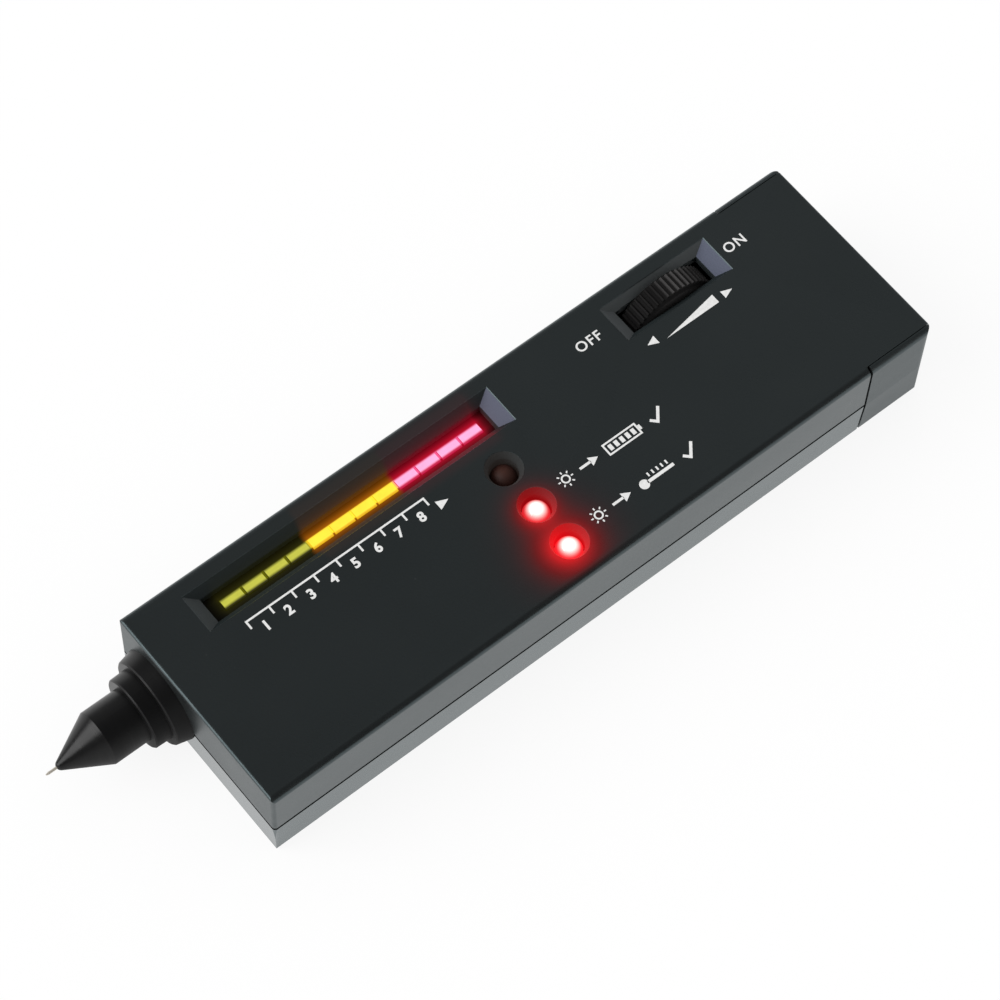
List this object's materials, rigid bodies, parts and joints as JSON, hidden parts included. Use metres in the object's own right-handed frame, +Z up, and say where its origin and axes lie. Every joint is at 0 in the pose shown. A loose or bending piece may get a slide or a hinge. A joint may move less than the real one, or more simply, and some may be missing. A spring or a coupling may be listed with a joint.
{
  "type": "gemstone tester",
  "caption": "Flat hand-held gemstone tester with a sprung heated needle in a stepped probe, a segmented light bar, round lamps, a thumbwheel and a slide-off battery door.",
  "frame": {"origin": "centre of the housing's base face", "axes": "+X along the length towards the battery door, the probe points to -X; +Y to the side with the light bar and the thumbwheel; +Z up out of the top face"},
  "size_m": [0.1687, 0.0424, 0.0224],
  "materials": {
    "shell_black": "satin moulded black",
    "screw_steel": "zinc plated",
    "board_green": "lacquered",
    "holder_black": "matt",
    "led_green": "lit lens",
    "led_yellow": "lit lens",
    "led_red": "lit lens",
    "lamp_dark": "clear tinted lens, unlit",
    "lamp_lit": "clear tinted lens, lit",
    "probe_black": "satin turned black",
    "nut_brass": "plain",
    "guide_cream": "plain",
    "spring_steel": "drawn wire",
    "lead_white": "smooth",
    "lead_red": "smooth",
    "lead_black": "smooth",
    "pot_grey": "moulded",
    "contact_tin": "tinned",
    "chip_black": "moulded",
    "can_blue": "shrink sleeve",
    "trimmer_blue": "moulded",
    "resistor_tan": "lacquered",
    "battery_jacket": "plain printed jacket",
    "snap_black": "soft",
    "wheel_black": "moulded",
    "shaft_metal": "turned",
    "needle_metal": "drawn",
    "heater_brass": "plain",
    "pad_foam": "foam",
    "print_white": "screen print"
  },
  "bodies": {
    "housing": {"top_shell": "shell_black", "bottom_shell": "shell_black", "shell_screws": "screw_steel", "main_board": "board_green", "board_screws": "screw_steel", "bar_holder": "holder_black", "bar_leds_green": "led_green", "bar_leds_yellow": "led_yellow", "bar_leds_red": "led_red", "alert_lamp": "lamp_dark", "battery_lamp": "lamp_lit", "ready_lamp": "lamp_lit", "probe_collar": "probe_black", "probe_nut": "nut_brass", "probe_nose": "probe_black", "probe_guide": "guide_cream", "probe_spring": "spring_steel", "probe_leads": "lead_white", "pot_case": "pot_grey", "pot_terminals": "contact_tin", "buzzer": "chip_black", "chips": "chip_black", "capacitors": "can_blue", "trimmers": "trimmer_blue", "resistors": "resistor_tan", "transistors": "chip_black", "battery_case": "battery_jacket", "battery_plus": "contact_tin", "battery_minus": "contact_tin", "snap_cover": "snap_black", "snap_socket": "contact_tin", "snap_stud": "contact_tin", "red_lead": "lead_red", "black_lead": "lead_black"},
    "wheel": {"thumbwheel": "wheel_black", "pot_shaft": "shaft_metal", "wheel_screw": "screw_steel"},
    "needle": {"probe_needle": "needle_metal", "heater": "heater_brass", "needle_carrier": "guide_cream"},
    "door": {"battery_door": "shell_black", "door_pad": "pad_foam"}
  },
  "joints": [
    {"name": "wheel_turn", "type": "hinge", "parent": "housing", "child": "wheel", "pos_m": [0.0407, 0.0138, 0.0124], "axis": [0, 1, 0], "range_deg": [-150, 150]},
    {"name": "needle_press", "type": "slide", "parent": "housing", "child": "needle", "axis": [1, 0, 0], "range_m": [0, 0.0015], "stiffness_N_per_m": 150, "springref_m": -0.003, "deforming": ["probe_spring"]},
    {"name": "door_slide", "type": "slide", "parent": "housing", "child": "door", "axis": [1, 0, 0], "range_m": [0, 0.016]}
  ]
}
